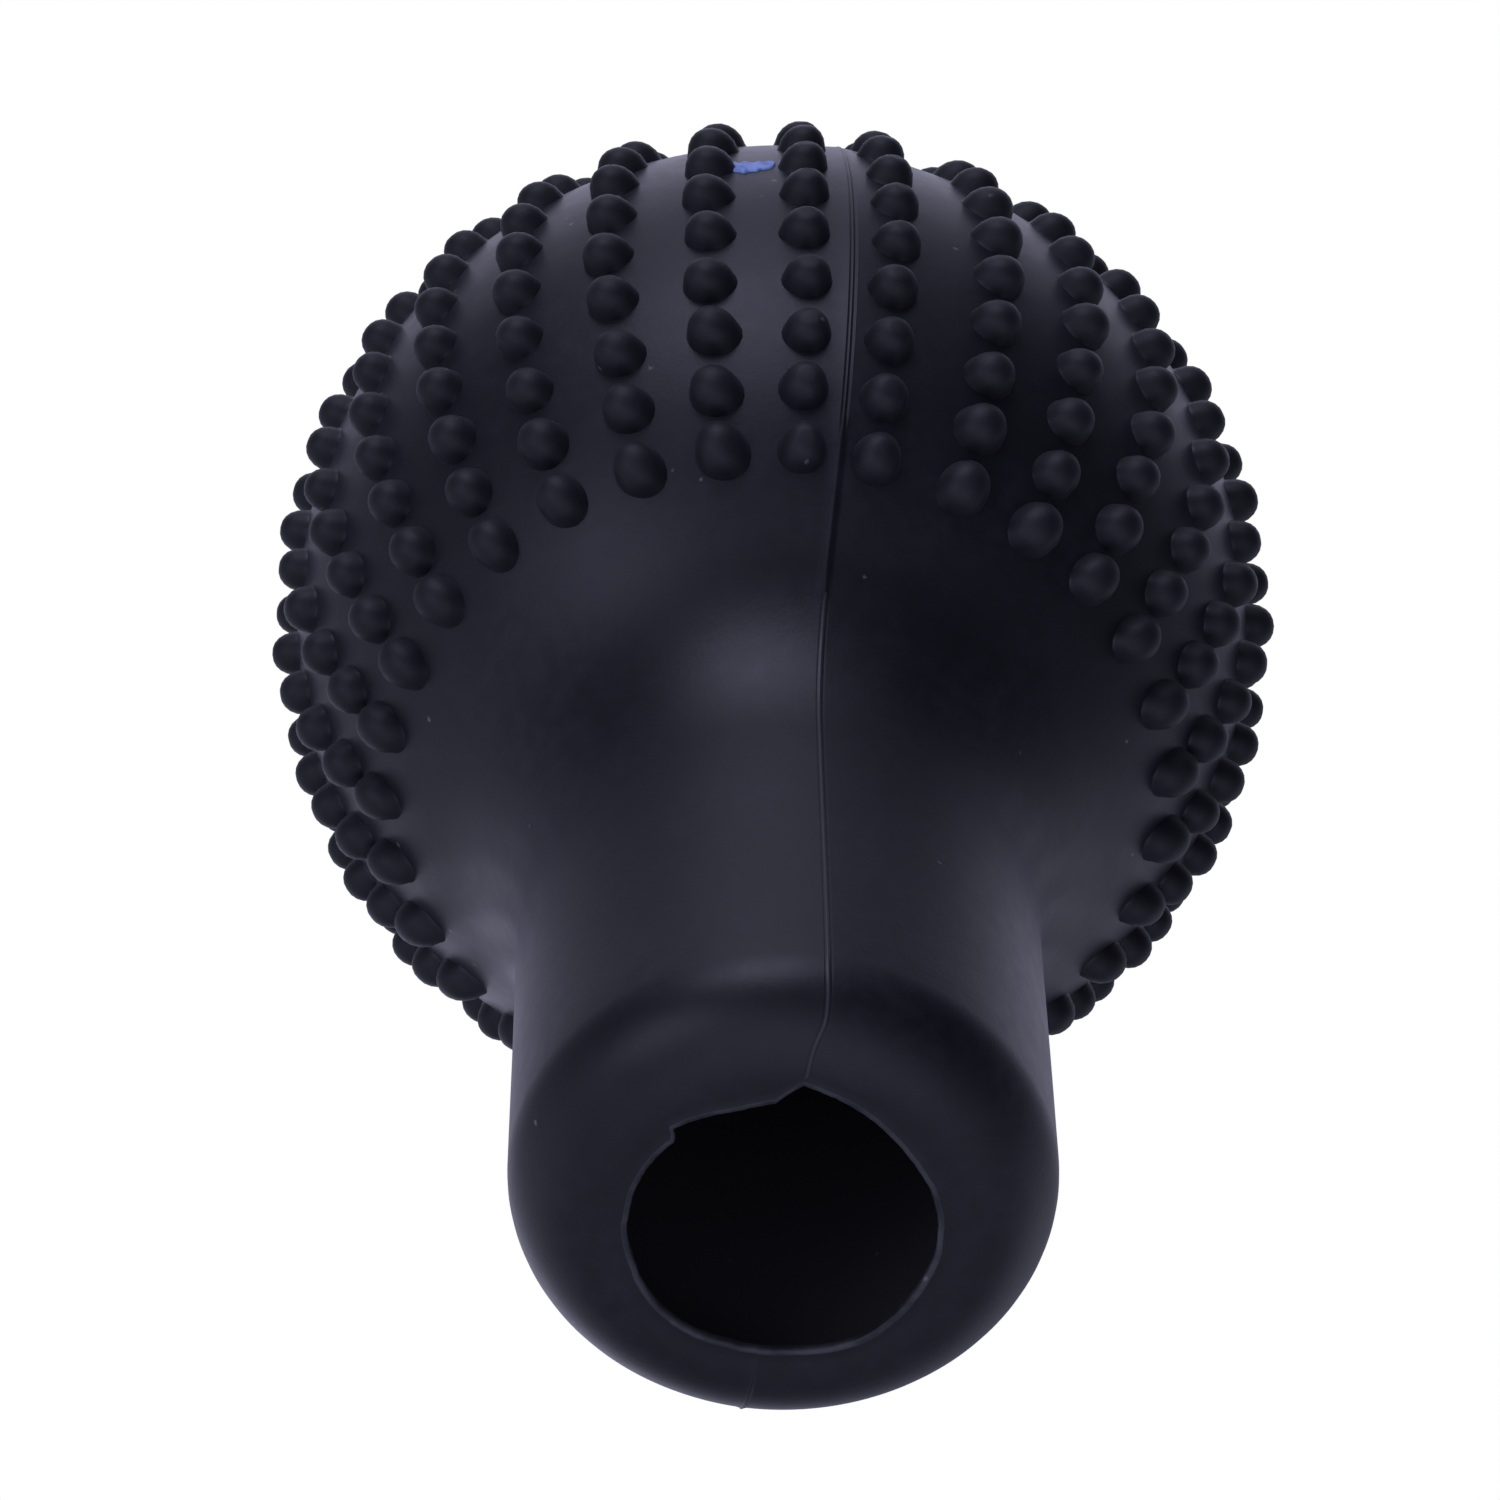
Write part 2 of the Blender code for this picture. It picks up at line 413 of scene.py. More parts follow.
known_headings = {}


def column_heading(column, radius, height):
    """Heading of one column, where places within a twentieth of a millimetre share their headings."""
    key = (round(radius * 2e4), round(height * 2e4))
    if key not in known_headings:
        known_headings[key] = column_headings(radius, height)
    return known_headings[key][column]


def strip_step(column):
    """Step across a seam strip that a column stands at, and whether it is the back strip, or None."""
    if HALF_CELLS <= column <= HALF_CELLS + STRIP_STEPS:
        return column - HALF_CELLS, True
    if column == 0:
        return 0, False
    if column >= 2 * HALF_CELLS + STRIP_STEPS:
        return STRIP_STEPS - (column - 2 * HALF_CELLS - STRIP_STEPS), False
    return None


def seam_relief(column, height):
    """Height of the seam's own lines at a column."""
    found = strip_step(column)
    if found is None:
        return 0.0
    step, back = found
    if back:
        return BACK_SEAM_SHARE * STEPPED[step]
    lower, change, upper = SEAM_ZONES[height > (STEP_LOW + STEP_HIGH) / 2]
    above = smooth(change - ZONE_BLEND, change + ZONE_BLEND, height)
    return upper[step] * above + lower[step] * (1.0 - above)


def half_relief(heading, radius, height):
    """The two halves meet in a low crest, and the +X half sits a little lower beside the seams."""
    away = math.radians(heading) - seam_shift(height) / radius
    distance = abs(math.sin(away)) * radius
    front_share = CREST_SHARE + CREST_FRONT_SHARE * math.cos(away) * radius / BALL_RADIUS
    lift = CREST_HEIGHT * front_share * math.exp(-distance / CREST_WIDTH)
    if math.sin(away) > 0.0:
        deeper = smooth(*DEEPER_START, height)
        deeper *= 1.0 - smooth(*DEEPER_END, height)
        deeper *= max(0.0, math.cos(away))
        lift -= (HALF_STEP + DEEPER_STEP * deeper) * math.exp(-distance / STEP_WIDTH)
    return lift


def wave(point):
    """Slow unevenness of the moulded skin."""
    return WAVE_HEIGHT * noise.noise(point / WAVE_SIZE)


def outer_point(station, heading, column):
    """A point of the outer skin, with its slow waves, the crest at the seam and the seam's lines."""
    radius, height, out_r, out_z = station
    side = direction(heading)
    point = side * radius + Vector((0.0, 0.0, height))
    outwards = side * out_r + Vector((0.0, 0.0, out_z))
    lift = wave(point) + half_relief(heading, radius, height)
    lift *= smooth(0.0, RELIEF_FADE, height)
    lift += seam_relief(column, height)
    return point + outwards * lift


def flash_paint(column, height):
    """Paint of the thin ridge of flash on the front of the neck."""
    return FLASH_PAINT if height < STEP_LOW and strip_step(column) in FLASH_STEPS else 0.0


def settle(point):
    """Shape of the soft part at rest: the neck leans a little, and the ball swells towards the crown."""
    lean = NECK_LEAN * max(0.0, 1.0 - point.z / LEAN_TOP)
    above = point - BALL_CENTRE
    swell = CROWN_SWELL * smooth(0.0, SWELL_RISE, above.z)
    return point + Vector((lean, 0.0, 0.0)) + above.normalized() * swell


# The skin, ring by ring


class Skin:
    """Points, faces, crisp edges and a paint value per point of the one mesh."""

    def __init__(self):
        self.points = []
        self.paint = []
        self.faces = []
        self.creases = set()

    def add(self, point, paint=0.0):
        self.points.append(point)
        self.paint.append(paint)
        return len(self.points) - 1

    def crease(self, ring):
        """Keeps the shading crisp along a closed ring."""
        for near, after in zip(ring, ring[1:] + ring[:1]):
            self.creases.add((min(near, after), max(near, after)))

    def quad_strip(self, lower, upper, closed=True):
        count = len(lower)
        for index in range(count if closed else count - 1):
            after = (index + 1) % count
            self.faces.append((lower[index], lower[after], upper[after], upper[index]))

    def fan(self, rim, centre):
        count = len(rim)
        for index in range(count):
            self.faces.append((rim[index], rim[(index + 1) % count], centre))


def lip_and_rim(skin):
    """Rings of the cut lip, the flat rim and its rounding, up to the neck."""
    edge, bevel, groove = [], [], []
    for heading in MOUTH_HEADINGS:
        cut = mouth_radius(heading)
        side = direction(heading)
        edge.append(skin.add(side * cut + Vector((0.0, 0.0, LIP_BEVEL)), CUT_PAINT))
        bevel.append(skin.add(side * (cut + LIP_BAND), CUT_PAINT))
        in_groove = side * (cut + LIP_BAND + LIP_GROOVE_WIDTH)
        groove.append(skin.add(in_groove + Vector((0.0, 0.0, LIP_GROOVE_DEPTH))))
    rings = [edge, bevel, groove]
    for step in range(1, RIM_STEPS + 1):
        ring = []
        for column, near in enumerate(MOUTH_HEADINGS):
            start = mouth_radius(near) + LIP_BAND + LIP_GROOVE_WIDTH
            station = rim_station(start + (ROUND_RIM_END - start) * step / RIM_STEPS)
            radius, height, _, _ = station
            point = outer_point(station, column_heading(column, radius, height), column)
            ring.append(skin.add(point, flash_paint(column, height)))
        rings.append(ring)
    return rings


def outer_ring(skin, station):
    radius, height, _, _ = station
    ring = []
    for column, heading in enumerate(column_headings(radius, height)):
        point = outer_point(station, heading, column)
        ring.append(skin.add(point, flash_paint(column, height)))
    return ring


def bead_polar(level):
    return FIRST_BEAD_POLAR + FIRST_BEAD_PITCH * level + PITCH_GROWTH * level * (level - 1) / 2


def belt_edge(level):
    """Polar angle of the lower edge of the cells at a level."""
    if level == 0:
        return BELT_FOOT_POLAR
    return bead_polar(level - 0.5)


def cell_start(row):
    return row * CELL_STEPS + (STRIP_STEPS if row >= ROWS_PER_HALF else 0)


def belt_columns():
    """Columns that have a point at every step of the belt: cell edges and seam strips."""
    columns = {cell_start(row) for row in range(LAST_ROW + 1)}
    columns |= {HALF_CELLS + step for step in range(STRIP_STEPS + 1)}
    columns |= {2 * HALF_CELLS + STRIP_STEPS + step for step in range(STRIP_STEPS)}
    return sorted(columns)


def bead_spot(row, level):
    """Polar angle, heading and relative size of one bead."""
    polar = vary(bead_polar(level), PLACE_ERROR)
    heading = vary(ROWS[row], PLACE_ERROR)
    heading += LOWEST_DRIFT * math.sin(math.radians(heading)) * math.exp(-level / DRIFT_LEVELS)
    size = vary(1.0, SIZE_ERROR)
    size *= 1.0 - TOP_SHRINK * smooth(BEADS_PER_ROW - 3, BEADS_PER_ROW - 1, level)
    if row in (0, LAST_ROW):
        shift = math.degrees(SEAM_ROW_SHIFT / ball_station(polar)[0])
        heading += shift * (1.0 - SHIFT_LOSS * smooth(*SHIFT_FADE, level))
        size *= SEAM_ROW_SIZE - SEAM_ROW_SHRINK * math.exp(-level / SHRINK_LEVELS)
    return polar, heading, size


def beak_reach(cosine, row, level):
    """How far a bead runs out towards the seam: more where the skin is steep to the mould's pull."""
    steepness = 1.0 / max(cosine, 0.05) - 1.0
    reach = BEAK_REACH * (1.0 - math.exp(-steepness / BEAK_STEEPNESS))
    heading = ROWS[row]
    if heading < 180.0:
        reach *= RIGHT_HALF_SHARE
    if level == 0:
        reach += LOWEST_BEAK * abs(math.sin(math.radians(heading)))
    if row == 0:
        reach = FIRST_ROW_BEAK
    if row == LAST_ROW:
        reach = LAST_ROW_BEAK
    return reach


def beak_pull(row, heading, level):
    """Which way a beak points: to the plane of the seams, but in the last row away from it."""
    to_seam = -1.0 if heading < 180.0 else 1.0
    droop = -BEAK_DROOP * math.exp(-level / DROOP_LEVELS)
    return Vector((-to_seam if row == LAST_ROW else to_seam, 0.0, droop))


def side_room(row, x, height):
    """How far the skin of a bead may reach sideways, either way, before it meets a seam strip."""
    low, high = -math.inf, math.inf
    if row == 0:
        low = seam_shift(height) + STRIP_SIDES[0] - x
    elif row == ROWS_PER_HALF - 1:
        high = x - STRIP_SIDES[0]
    elif row == ROWS_PER_HALF:
        low = x - STRIP_SIDES[-1]
    elif row == LAST_ROW:
        high = seam_shift(height) + STRIP_SIDES[-1] - x
    return low, high


def bead(skin, corners, row, level):
    """One bead and the skin of its cell. Corners is the loop of points round the cell."""
    polar, heading, size = bead_spot(row, level)
    radius, height, _, _ = ball_station(polar)
    outwards = (direction(heading) * radius + Vector((0.0, 0.0, height)) - BALL_CENTRE).normalized()
    sideways = Vector((0.0, 0.0, 1.0)).cross(outwards).normalized()
    upwards = outwards.cross(sideways)

    pull = beak_pull(row, heading, level)
    beak_turn = vary(math.atan2(pull.dot(upwards), pull.dot(sideways)), BEAK_TURN_ERROR)
    reach = beak_reach(abs(outwards.x), row, level) * vary(1.0, BEAK_REACH_ERROR)
    towards_beak = sideways * math.cos(beak_turn) + upwards * math.sin(beak_turn)
    outwards = (outwards - towards_beak * (BEAK_SET_BACK * reach / BALL_RADIUS)).normalized()

    set_polar = math.degrees(math.acos(-outwards.z))
    room_up = (belt_edge(level + 1) - set_polar) * BALL_DEGREE
    room_down = (set_polar - belt_edge(level)) * BALL_DEGREE
    nearest, furthest = side_room(row, BALL_RADIUS * outwards.x, height)
    stretch = 1.0 + LOWEST_STRETCH * math.exp(-level / STRETCH_LEVELS)
    foot_radius = BEAD_RADIUS * size
    top_height = BEAD_HEIGHT * size * vary(1.0, HEIGHT_ERROR)

    count = len(corners)
    turns = [math.radians(225.0) + 2 * math.pi * index / count for index in range(count)]
    beak = []
    for turn in turns:
        off = (turn - beak_turn + math.pi) % (2 * math.pi) - math.pi
        beak.append(math.exp(-((off / BEAK_SPREAD) ** 2)))

    def ring(widths, lifts, fill=CELL_FILL, paint=0.0):
        made = []
        for turn, width, lift in zip(turns, widths, lifts):
            along = width * math.cos(turn)
            above = width * stretch * math.sin(turn)
            above = min(max(above, -fill * room_down), fill * room_up)
            along = min(max(along, fill * nearest), fill * furthest)
            on_ball = (outwards + (sideways * along + upwards * above) / BALL_RADIUS).normalized()
            at = BALL_CENTRE + on_ball * BALL_RADIUS
            around = math.degrees(math.atan2(at.x, -at.y))
            bed = wave(at) + half_relief(around, math.hypot(at.x, at.y), at.z)
            made.append(skin.add(at + on_ball * bed + outwards * lift, paint))
        return made

    feet = [foot_radius + reach * share for share in beak]
    spread_feet = [foot + BEAD_FILLET * (1.0 + 0.5 * share) for foot, share in zip(feet, beak)]
    level_with_skin = [0.0] * count
    guard = ring([foot + BEAD_GUARD for foot in spread_feet], level_with_skin, GUARD_FILL)
    rings = [corners, guard, ring(spread_feet, level_with_skin)]
    skin.crease(rings[-1])
    for angle in DOME_ANGLES:
        flat, up = math.cos(math.radians(angle)), math.sin(math.radians(angle))
        widths, lifts = [], []
        for foot, share in zip(feet, beak):
            power = DOME_POWER - BEAK_SOFTENING * share * reach / BEAK_REACH
            widths.append(foot * flat ** (2.0 / power))
            lifts.append(top_height * up ** (2.0 / power))
        rings.append(ring(widths, lifts, paint=BEAD_PAINT))
    for lower, upper in zip(rings, rings[1:]):
        skin.quad_strip(lower, upper)
    top = skin.add(BALL_CENTRE + outwards * (BALL_RADIUS + top_height), BEAD_PAINT)
    skin.fan(rings[-1], top)


def cell_corners(levels, row):
    """The loop of points round the cell of a row, from its lower left."""
    left = cell_start(row)
    right = (left + CELL_STEPS) % COLUMNS
    corners = [levels[0][(left + step) % COLUMNS] for step in range(CELL_STEPS)]
    corners += [levels[step][right] for step in range(CELL_STEPS)]
    corners += [levels[-1][(left + step) % COLUMNS] for step in range(CELL_STEPS, 0, -1)]
    corners += [levels[step][left] for step in range(CELL_STEPS, 0, -1)]
    return corners


def belt(skin, first_ring):
    """The beaded part of the ball, from its lower ring up. Returns its upper ring."""
    lower = first_ring
    columns = belt_columns()
    for level in range(BEADS_PER_ROW):
        bottom, top = belt_edge(level), belt_edge(level + 1)
        upper = outer_ring(skin, ball_station(top))
        between = []
        for step in range(1, CELL_STEPS):
            station = ball_station(bottom + (top - bottom) * step / CELL_STEPS)
            headings = column_headings(station[0], station[1])
            between.append({c: skin.add(outer_point(station, headings[c], c)) for c in columns})
        levels = [dict(enumerate(lower))] + between + [dict(enumerate(upper))]
        for first in (HALF_CELLS, 2 * HALF_CELLS + STRIP_STEPS):
            strip = [(first + step) % COLUMNS for step in range(STRIP_STEPS + 1)]
            for below, above in zip(levels, levels[1:]):
                skin.quad_strip([below[c] for c in strip], [above[c] for c in strip], closed=False)
        for row in range(LAST_ROW + 1):
            bead(skin, cell_corners(levels, row), row, level)
        lower = upper
    return lower


def crown(skin, belt_ring):
    """The smooth top of the ball, with the seam running straight over the pole."""
    start = belt_edge(BEADS_PER_ROW)
    end = 180.0 - math.degrees(math.asin(POLE_RADIUS / BALL_RADIUS))
    lower = belt_ring
    for step in range(1, CROWN_STEPS + 1):
        ring = outer_ring(skin, ball_station(start + (end - start) * step / CROWN_STEPS))
        skin.quad_strip(lower, ring)
        lower = ring

    front = [lower[(2 * HALF_CELLS + STRIP_STEPS + step) % COLUMNS] for step in range(STRIP_STEPS + 1)]
    back = [lower[HALF_CELLS + STRIP_STEPS - step] for step in range(STRIP_STEPS + 1)]
    middle = []
    for near, far in zip(front, back):
        point = (skin.points[near] + skin.points[far]) / 2
        lift = skin.points[near] - BALL_CENTRE
        point.z += lift.length - math.sqrt(lift.length**2 - POLE_RADIUS**2)
        middle.append(skin.add(point))
    skin.quad_strip(front, middle, closed=False)
    skin.quad_strip(middle, back, closed=False)
    right_rim = lower[: HALF_CELLS + 1]
    left_rim = lower[HALF_CELLS + STRIP_STEPS : 2 * HALF_CELLS + STRIP_STEPS + 1]
    for rim, centre in ((right_rim, middle[-1]), (left_rim, middle[0])):
        for near, far in zip(rim, rim[1:]):
            skin.faces.append((near, far, centre))


def hollow_outline():
    """Radius and height of each ring of the inside, from above the lip to below the inner pole."""
    outline = [(8.9 * MM, 1.5 * MM)]
    arcs = arc(RIM_FLAT_RADIUS, RIM_ROUNDING, RIM_ROUNDING - WALL, -80.0, 0.0, INNER_RIM_STEPS)
    arcs += neck_fillet(WALL, INNER_FILLET_STEPS)
    outline += [station[:2] for station in arcs]
    last_r, last_z = outline[-1]
    inner_radius = BALL_RADIUS - WALL
    lowest = math.degrees(math.atan2(last_r, BALL_CENTRE.z - last_z))
    for step in range(1, INNER_STEPS):
        angle = math.radians(lowest + (180.0 - lowest) * step / INNER_STEPS)
        height = BALL_CENTRE.z - inner_radius * math.cos(angle)
        outline.append((inner_radius * math.sin(angle), height))
    return outline


def hollow(skin, lip_edge):
    """The inside, from the lip's edge up over the neck to the inner pole."""
    under = []
    for heading in MOUTH_HEADINGS:
        cut = mouth_radius(heading) + LIP_UNDERCUT
        under.append(skin.add(direction(heading) * cut + Vector((0.0, 0.0, LIP_THICKNESS)), CUT_PAINT))
    skin.quad_strip(under, lip_edge)
    lower = under
    for radius, height in hollow_outline():
        ring = []
        for heading in MOUTH_HEADINGS:
            reach = radius
            if height < INNER_LIP_TOP:
                reach = max(radius, mouth_radius(heading) + INNER_LIP_SLOPE * height)
            ring.append(skin.add(direction(heading) * reach + Vector((0.0, 0.0, height)), INSIDE_PAINT))
        skin.quad_strip(ring, lower)
        lower = ring
    pole = skin.add(Vector((0.0, 0.0, BALL_CENTRE.z + BALL_RADIUS - WALL)), INSIDE_PAINT)
    skin.fan(list(reversed(lower)), pole)


def new_piece(name, points, faces, material):
    """An object of settled points with one material; its callers shade it smooth."""
    mesh = bpy.data.meshes.new(name)
    mesh.from_pydata([tuple(settle(point)) for point in points], [], faces)
    mesh.materials.append(material)
    piece = bpy.data.objects.new(name, mesh)
    bpy.context.scene.collection.objects.link(piece)
    return piece


def sleeve():
    skin = Skin()
    rings = lip_and_rim(skin)
    lip_edge = rings[0]
    rings += [outer_ring(skin, station) for station in neck_stations()]
    rings.append(outer_ring(skin, ball_station(BELT_FOOT_POLAR)))
    for lower, upper in zip(rings, rings[1:]):
        skin.quad_strip(lower, upper)
    crown(skin, belt(skin, rings[-1]))
    hollow(skin, lip_edge)

    piece = new_piece("sleeve_skin", skin.points, skin.faces, silicone())
    mesh = piece.data
    paint = mesh.attributes.new("paint", "FLOAT", "POINT")
    paint.data.foreach_set("value", skin.paint)
    mesh.validate()
    mesh.shade_smooth()
    for edge in mesh.edges:
        first, second = edge.vertices
        edge.use_edge_sharp = (min(first, second), max(first, second)) in skin.creases
    return piece


def fleck():
    """The blue sliver: a ragged, curled and crumpled tube of small height, sunk into the skin."""
    out_r, out_z = ball_station(FLECK_POLAR)[2:]
    outwards = direction(FLECK_HEADING) * out_r + Vector((0.0, 0.0, out_z))
    sideways = Vector((0.0, 0.0, 1.0)).cross(outwards).normalized()
    upwards = outwards.cross(sideways)
    points, faces = [], []
    for step in range(FLECK_STEPS + 1):
        along = 2.0 * step / FLECK_STEPS - 1.0
        ragged = 0.30 * noise.noise(Vector((along * 4.0, 3.3, 0.0)))
        width = FLECK_HALF_WIDTH * (1.0 - 0.18 * along + ragged) * (1.0 - along**8) ** 0.5
        width = max(width, FLECK_LEAST_WIDTH)
        centre = FLECK_CURL * (0.75 * along * along + 0.25 * along)
        centre += FLECK_WANDER * noise.noise(Vector((along * 3.0, 0.0, 7.7)))
        for across, lift in FLECK_SECTION:
            crumple = 0.35 * noise.noise(Vector((along * 5.0, across * 2.0, 1.1)))
            place = sideways * (along * FLECK_HALF_LENGTH) + upwards * (centre + across * width)
            on_ball = (outwards + place / BALL_RADIUS).normalized()
            stand = FLECK_LIFT * (lift + crumple if lift > 0.0 else FLECK_SUNK)
            points.append(BALL_CENTRE + on_ball * (BALL_RADIUS + stand))
    count = len(FLECK_SECTION)
    for step in range(FLECK_STEPS):
        low, high = step * count, (step + 1) * count
        for side in range(count):
            after = (side + 1) % count
            faces.append((low + side, high + side, high + after, low + after))
    faces.append(tuple(range(count)))
    faces.append(tuple(reversed(range(FLECK_STEPS * count, (FLECK_STEPS + 1) * count))))
    piece = new_piece("blue_fleck", points, faces, blue_rubber())
    piece.data.validate()
    piece.data.shade_smooth()
    return piece


# Materials


class Graph:
    """Short hand for a node tree: each call adds one node and returns one of its outputs."""

    def __init__(self, tree):
        self.tree = tree
        tree.nodes.clear()

    def feed(self, socket, value):
        """Links another node's output to a socket, or sets the socket's own value."""
        if isinstance(value, bpy.types.NodeSocket):
            self.tree.links.new(value, socket)
        else:
            socket.default_value = value

    def add(self, kind, inputs=None, output=0, **settings):
        made = self.tree.nodes.new(kind)
        for name, value in settings.items():
            setattr(made, name, value)
        for name, value in (inputs or {}).items():
            self.feed(made.inputs[name], value)
        return made.outputs[output] if made.outputs else None

    def math(self, operation, *values):
        return self.add("ShaderNodeMath", dict(enumerate(values)), operation=operation)

    def vector_math(self, operation, *values, output=0):
        inputs = dict(enumerate(values))
        return self.add("ShaderNodeVectorMath", inputs, output=output, operation=operation)

    def ramp(self, value, low, high, start=0.0, end=1.0):
        limits = {"Value": value, "From Min": low, "From Max": high, "To Min": start, "To Max": end}
        return self.add("ShaderNodeMapRange", limits, interpolation_type="SMOOTHSTEP")

    def noise(self, place, scale, detail=2.0):
        inputs = {"Vector": place, "Scale": scale, "Detail": detail, "Roughness": 0.55}
        return self.add("ShaderNodeTexNoise", inputs)

    def mix(self, factor, first, second):
        made = self.tree.nodes.new("ShaderNodeMix")
        made.data_type = "RGBA"
        self.feed(made.inputs[0], factor)
        self.feed(made.inputs[6], first)
        self.feed(made.inputs[7], second)
        return made.outputs[2]

    def object_place(self):
        return self.add("ShaderNodeTexCoord", output=3)


def new_material(name):
    material = bpy.data.materials.new(name)
    material.use_nodes = True
    return material, Graph(material.node_tree)


def specks(graph, place):
    """Mask of small ragged spots, in some of the cells of a random lattice."""
    jitter = graph.add("ShaderNodeTexNoise", {"Vector": place, "Scale": 3000.0}, output=1)
    bent = graph.add("ShaderNodeVectorMath", {0: jitter, "Scale": 0.0003}, operation="SCALE")
    cells = {"Vector": graph.vector_math("ADD", place, bent), "Scale": 430.0}
    near = graph.add("ShaderNodeTexVoronoi", cells)
    chosen = graph.math("GREATER_THAN", graph.add("ShaderNodeTexVoronoi", cells, output=1), 0.62)
    return graph.math("MULTIPLY", graph.ramp(near, 0.03, 0.08, 1.0, 0.0), chosen)


def silicone_colour(graph, place, small, painted, on_bead):
    large = graph.noise(place, 110.0, 3.0)
    bloom = graph.math("MULTIPLY", graph.ramp(large, 0.3, 0.75), graph.ramp(small, 0.25, 0.8))
    base = graph.mix(bloom, SKIN_DARK, SKIN_LIGHT)
    cut = graph.math("COMPARE", painted, CUT_PAINT, 0.25)
    worn = graph.ramp(graph.noise(place, 420.0, 3.0), 0.35, 0.65, 0.15, 1.0)
    base = graph.mix(graph.math("MULTIPLY", cut, worn), base, CUT_COLOUR)
    flash = graph.math("COMPARE", painted, FLASH_PAINT, 0.24)
    base = graph.mix(graph.math("MULTIPLY", flash, 0.6), base, FLASH_COLOUR)
    inside = graph.math("GREATER_THAN", painted, INSIDE_PAINT - 0.5)
    # The inside is painted lighter than the skin, as painted light in the hollow
    base = graph.mix(inside, base, INSIDE_PAINTED_LIGHT)
    base = graph.mix(graph.math("MULTIPLY", specks(graph, place), 0.7), base, SPECK_COLOUR)
    return graph.mix(graph.math("MULTIPLY", on_bead, 0.35), base, BEAD_COLOUR)


def silicone():
    material, graph = new_material("black_silicone")
    place = graph.object_place()
    small = graph.noise(place, 900.0, 4.0)
    grain = graph.noise(place, 4200.0, 3.0)
    painted = graph.add("ShaderNodeAttribute", output=2, attribute_name="paint")
    on_bead = graph.ramp(painted, BEAD_PAINT, 0.0, 1.0, 0.0)

    rough = graph.ramp(small, 0.2, 0.8, 0.37, 0.42)
    rough = graph.math("ADD", rough, graph.math("MULTIPLY", on_bead, 0.14))
    bump = graph.add("ShaderNodeBump", {"Height": grain, "Strength": 0.08, "Distance": 0.00010})
    coarse = {"Height": small, "Strength": 0.035, "Distance": 0.0003, "Normal": bump}
    bump = graph.add("ShaderNodeBump", coarse)
    inputs = {
        "Base Color": silicone_colour(graph, place, small, painted, on_bead),
        "Roughness": rough,
        "IOR": 1.42,
        "Normal": bump,
        "Specular IOR Level": 0.52,
        "Specular Tint": SPECULAR_TINT,
        "Sheen Weight": 0.06,
        "Sheen Roughness": 0.45,
        "Sheen Tint": SHEEN_TINT,
    }
    shader = graph.add("ShaderNodeBsdfPrincipled", inputs)
    graph.add("ShaderNodeOutputMaterial", {"Surface": shader})
    return material


def blue_rubber():
    material, graph = new_material("blue_rubber")
    patches = graph.noise(graph.object_place(), 1600.0, 3.0)
    base = graph.mix(graph.ramp(patches, 0.35, 0.62), BLUE_DARK, BLUE_LIGHT)
    bump = graph.add("ShaderNodeBump", {"Height": patches, "Strength": 0.3, "Distance": 0.0001})
    inputs = {"Base Color": base, "Roughness": graph.ramp(patches, 0.3, 0.7, 0.45, 0.6), "Normal": bump}
    shader = graph.add("ShaderNodeBsdfPrincipled", inputs)
    graph.add("ShaderNodeOutputMaterial", {"Surface": shader})
    return material


def pale_floor():
    """Pale floor that only its upper side shows, and that fades out towards its edge."""
    material, graph = new_material("pale_floor")
    place = graph.object_place()
    away = graph.vector_math("LENGTH", place, output=1)
    colour = graph.mix(graph.noise(place, 6.0), *FLOOR_TONES)
    lit = graph.add("ShaderNodeBsdfDiffuse", {"Color": colour})
    glow = graph.add("ShaderNodeEmission", {"Color": WHITE, "Strength": FLOOR_GLOW})
    shader = graph.add("ShaderNodeAddShader", {0: lit, 1: glow})
    clear = graph.add("ShaderNodeBsdfTransparent")
    behind = graph.add("ShaderNodeNewGeometry", output=6)
    hidden = graph.math("MAXIMUM", behind, graph.ramp(away, *FLOOR_FADE))
    surface = graph.add("ShaderNodeMixShader", {0: hidden, 1: shader, 2: clear})
    graph.add("ShaderNodeOutputMaterial", {"Surface": surface})
    return material


# Stage


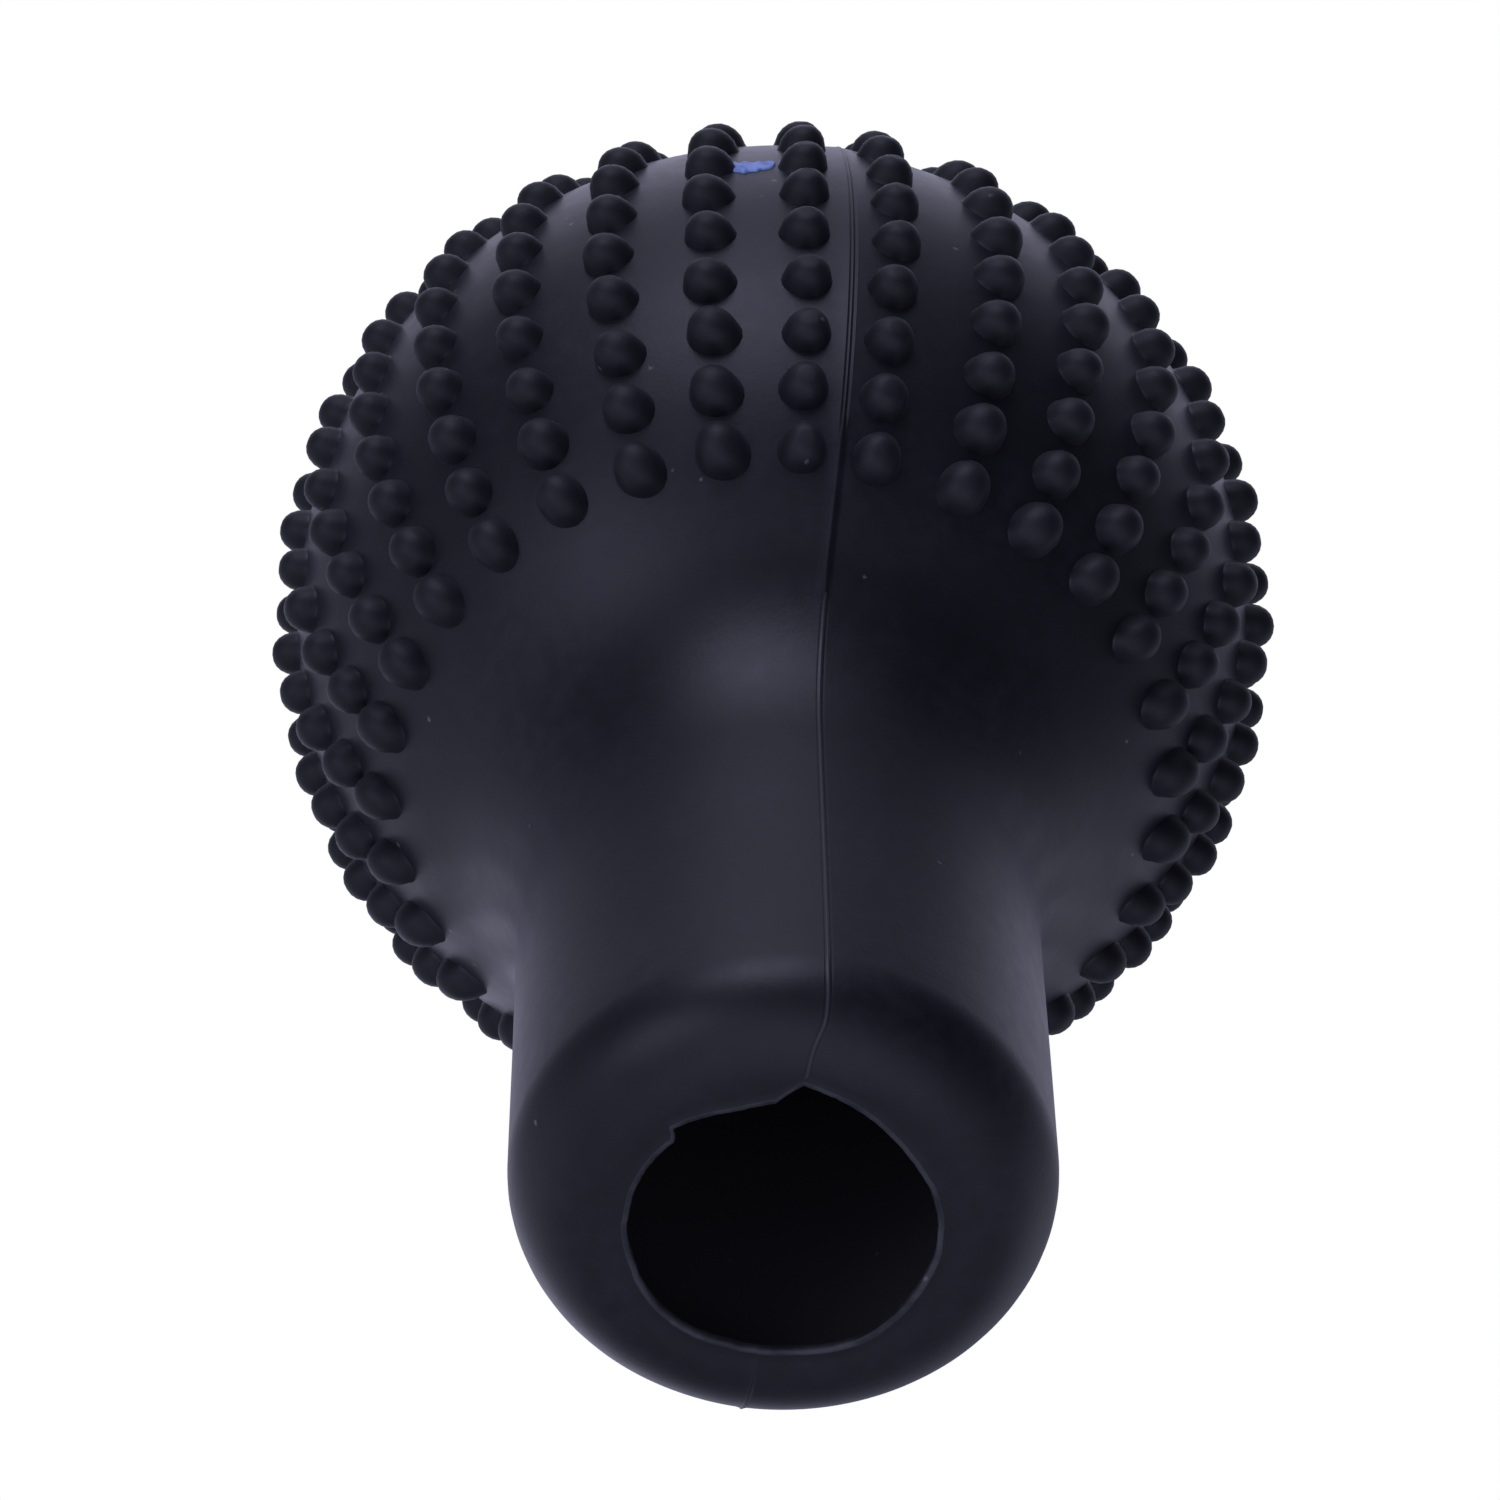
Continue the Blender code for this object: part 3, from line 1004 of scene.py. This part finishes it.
def floor():
    points = []
    for side in range(FLOOR_SIDES):
        angle = 2 * math.pi * side / FLOOR_SIDES
        points.append((FLOOR_RADIUS * math.cos(angle), FLOOR_RADIUS * math.sin(angle), 0.0))
    mesh = bpy.data.meshes.new("floor")
    mesh.from_pydata(points, [], [tuple(range(FLOOR_SIDES))])
    mesh.materials.append(pale_floor())
    piece = bpy.data.objects.new("floor", mesh)
    piece.location.z = cad_low.z - FLOOR_GAP
    piece.visible_diffuse = False
    piece.visible_glossy = False
    piece.visible_transmission = False
    piece.visible_shadow = False
    bpy.context.scene.collection.objects.link(piece)
    return piece


def look_back(azimuth, elevation):
    """Unit vector from the middle of the scene towards a place on the sky."""
    turn, rise = math.radians(azimuth), math.radians(elevation)
    return Vector((math.sin(turn) * math.cos(rise), -math.cos(turn) * math.cos(rise), math.sin(rise)))


def camera():
    data = bpy.data.cameras.new("camera")
    data.lens = CAMERA_LENS
    data.sensor_width = CAMERA_SENSOR
    data.clip_start = 0.01
    made = bpy.data.objects.new("camera", data)
    back = look_back(CAMERA_AZIMUTH, CAMERA_ELEVATION)
    made.location = CAMERA_AIM + back * CAMERA_DISTANCE
    made.rotation_mode = "QUATERNION"
    made.rotation_quaternion = (-back).to_track_quat("-Z", "Y")
    bpy.context.scene.collection.objects.link(made)
    bpy.context.scene.camera = made


def studio():
    """The glows light the scene, and the camera itself sees plain white."""
    world = bpy.data.worlds.new("studio")
    bpy.context.scene.world = world
    world.use_nodes = True
    graph = Graph(world.node_tree)
    towards = graph.add("ShaderNodeTexCoord", output=0)
    total = ROOM
    for azimuth, elevation, sharpness, strength in GLOWS.values():
        near = graph.vector_math("DOT_PRODUCT", towards, tuple(look_back(azimuth, elevation)), output=1)
        fall = graph.math("EXPONENT", graph.math("MULTIPLY", graph.math("SUBTRACT", near, 1.0), sharpness))
        total = graph.math("ADD", total, graph.math("MULTIPLY", fall, strength))
    light = graph.add("ShaderNodeBackground", {"Color": LIGHT_COLOUR, "Strength": total})
    plain = graph.add("ShaderNodeBackground", {"Color": WHITE, "Strength": 1.0})
    seen = graph.add("ShaderNodeLightPath")
    mixed = graph.add("ShaderNodeMixShader", {0: seen, 1: light, 2: plain})
    graph.add("ShaderNodeOutputWorld", {"Surface": mixed})


skin_piece = sleeve()
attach(skin_piece, "root")
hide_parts("silicone_sleeve")
blue_piece = fleck()
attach(blue_piece, "root")
floor()
studio()
camera()
bpy.context.scene.view_settings.view_transform = "Standard"
